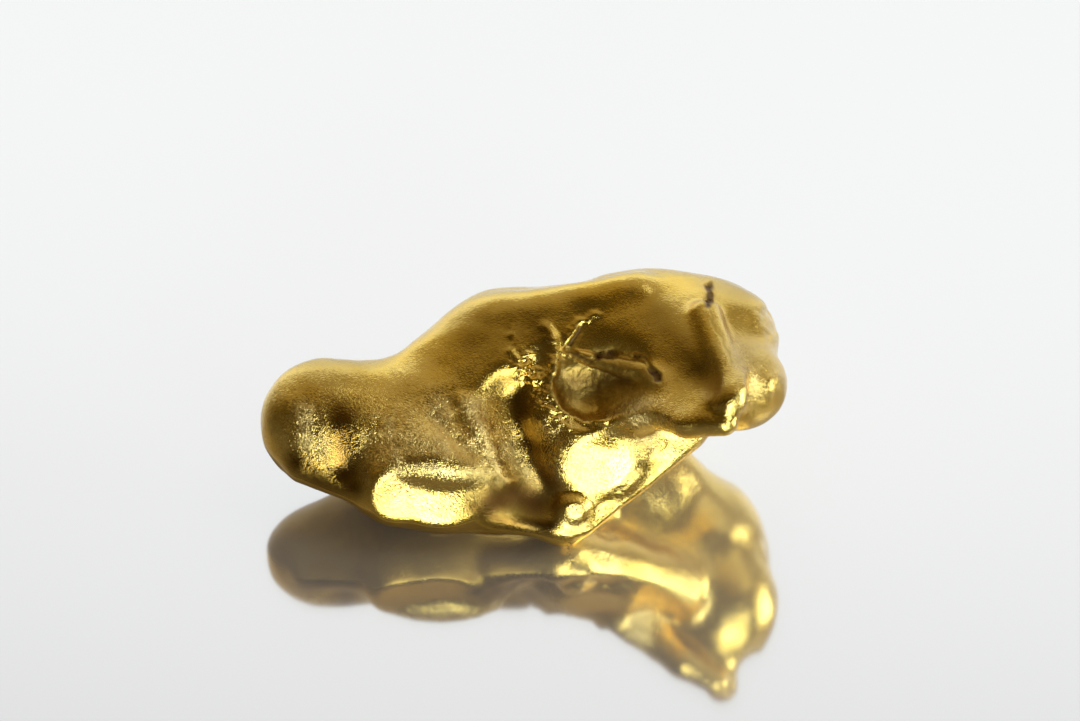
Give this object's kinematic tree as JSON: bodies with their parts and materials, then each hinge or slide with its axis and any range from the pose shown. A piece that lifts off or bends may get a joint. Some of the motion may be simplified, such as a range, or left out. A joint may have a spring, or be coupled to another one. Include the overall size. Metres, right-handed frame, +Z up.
{
  "type": "gold nugget",
  "caption": "Water-worn natural gold nugget: a lumpy leaning slab with a rounded knob at one end and a curled crest and beak at the other, on a flat worn foot.",
  "frame": {"origin": "on the ground plane, under the middle of the nugget's bounding box", "axes": "+X along the nugget's length from the rounded knob toward the crested end, +Y away from its broad leaning face, +Z up from the flat worn foot"},
  "size_m": [0.02, 0.0098, 0.0087],
  "materials": {
    "gold": "solid native gold, water-worn: smooth on the high places, finely frosted in the hollows"
  },
  "bodies": {
    "root": {"nugget": "gold"}
  },
  "joints": []
}
